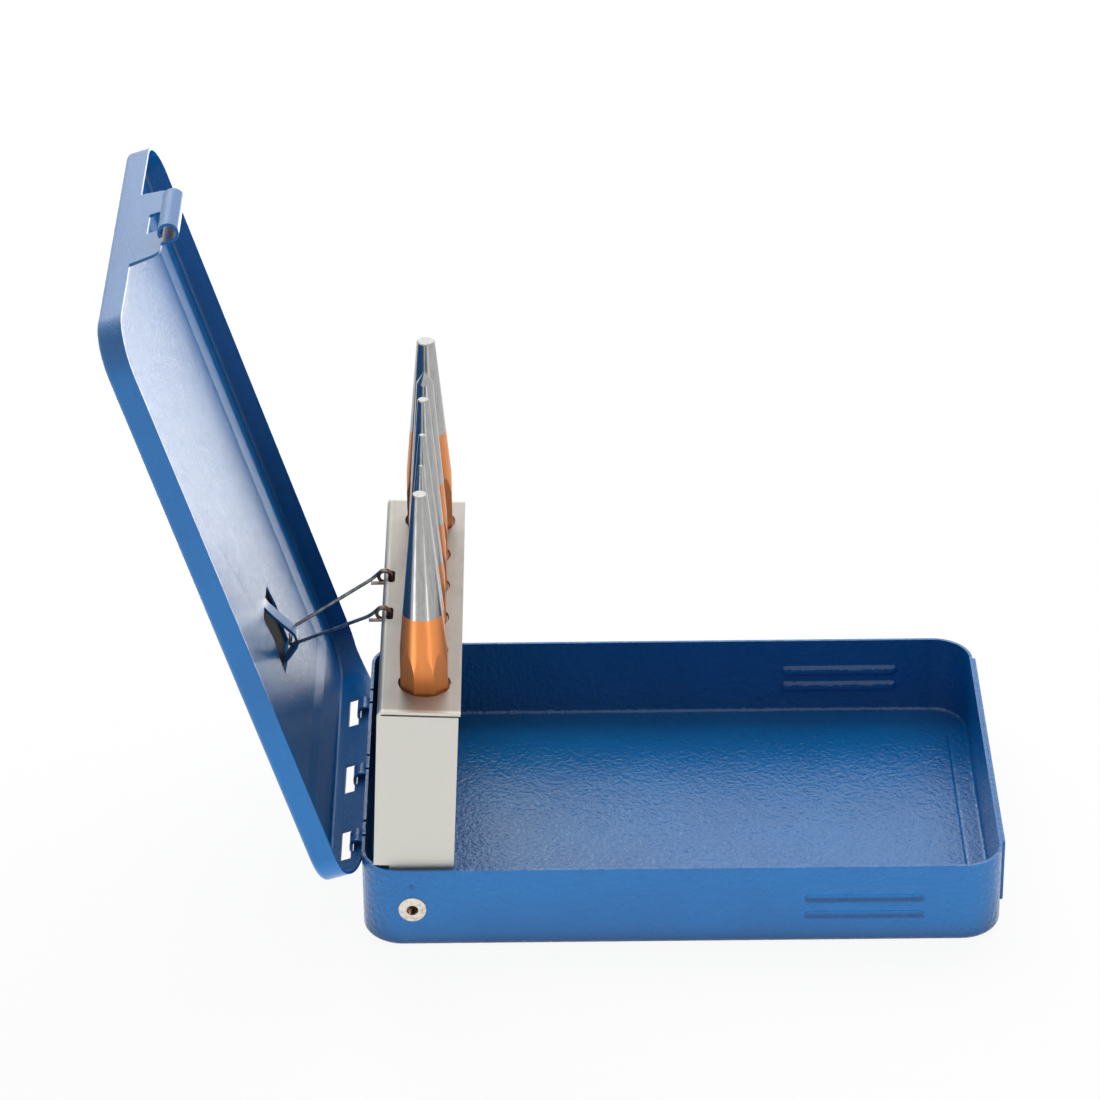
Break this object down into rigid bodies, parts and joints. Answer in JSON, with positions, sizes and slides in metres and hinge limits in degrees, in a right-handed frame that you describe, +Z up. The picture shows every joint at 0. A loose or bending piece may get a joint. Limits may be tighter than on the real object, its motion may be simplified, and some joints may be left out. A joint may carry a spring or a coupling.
{
  "type": "punch case",
  "caption": "Folding steel tool case with a hinged lid and snap latch; a wire link tilts an inner rack of striking punches upright as the lid opens.",
  "frame": {"origin": "middle of the tray's flat underside, which rests on the bench", "axes": "+Z up, X along the lid hinge, -Y towards the latch, +Y towards the hinge"},
  "size_m": [0.115, 0.2266, 0.1869],
  "materials": {
    "blue_paint": "glossy powder coat with a fine orange-peel surface",
    "zinc_steel": "satin zinc plate",
    "nickel_rivet": "dull nickel plate",
    "spring_wire": "dark spring wire",
    "punch_steel": "ground and polished points above copper-coloured lacquered shanks"
  },
  "bodies": {
    "base": {"base_tray": "blue_paint", "catch_plate": "blue_paint", "pivot_rivets": "nickel_rivet", "pivot_washers": "nickel_rivet"},
    "lid": {"lid_shell": "blue_paint"},
    "rack": {"rack_frame": "zinc_steel", "guide_shelf": "zinc_steel"},
    "link": {"wire_link": "spring_wire"},
    "drift_punch_4": {"drift_punch_4": "punch_steel"},
    "drift_punch_1": {"drift_punch_1": "punch_steel"},
    "drift_punch_2": {"drift_punch_2": "punch_steel"},
    "drift_punch_3": {"drift_punch_3": "punch_steel"},
    "centre_punch": {"centre_punch": "punch_steel"},
    "drift_punch_5": {"drift_punch_5": "punch_steel"}
  },
  "joints": [
    {"name": "lid_hinge", "type": "hinge", "parent": "base", "child": "lid", "pos_m": [0, 0.0843, 0.0189], "axis": [1, 0, 0], "range_deg": [0, 107.4]},
    {"name": "rack_tilt", "type": "hinge", "parent": "base", "child": "rack", "pos_m": [0, 0.0701, 0.0115], "axis": [1, 0, 0], "range_deg": [0, 86.85]},
    {"name": "link_swing", "type": "hinge", "parent": "rack", "child": "link", "pos_m": [0.0043, 0.07739, 0.07029], "axis": [1, 0, 0], "range_deg": [-49.18, 0]},
    {"name": "drift_punch_4_lift", "type": "slide", "parent": "rack", "child": "drift_punch_4", "axis": [0, 0, 1], "range_m": [0, 0.036]},
    {"name": "drift_punch_1_lift", "type": "slide", "parent": "rack", "child": "drift_punch_1", "axis": [0, 0, 1], "range_m": [0, 0.036]},
    {"name": "drift_punch_2_lift", "type": "slide", "parent": "rack", "child": "drift_punch_2", "axis": [0, 0, 1], "range_m": [0, 0.036]},
    {"name": "drift_punch_3_lift", "type": "slide", "parent": "rack", "child": "drift_punch_3", "axis": [0, 0, 1], "range_m": [0, 0.036]},
    {"name": "centre_punch_lift", "type": "slide", "parent": "rack", "child": "centre_punch", "axis": [0, 0, 1], "range_m": [0, 0.036]},
    {"name": "drift_punch_5_lift", "type": "slide", "parent": "rack", "child": "drift_punch_5", "axis": [0, 0, 1], "range_m": [0, 0.036]}
  ],
  "couplings": [
    {"joint": "rack_tilt", "follows": "lid_hinge", "ratio": 0.80819},
    {"joint": "link_swing", "follows": "lid_hinge", "ratio": -0.45745}
  ]
}
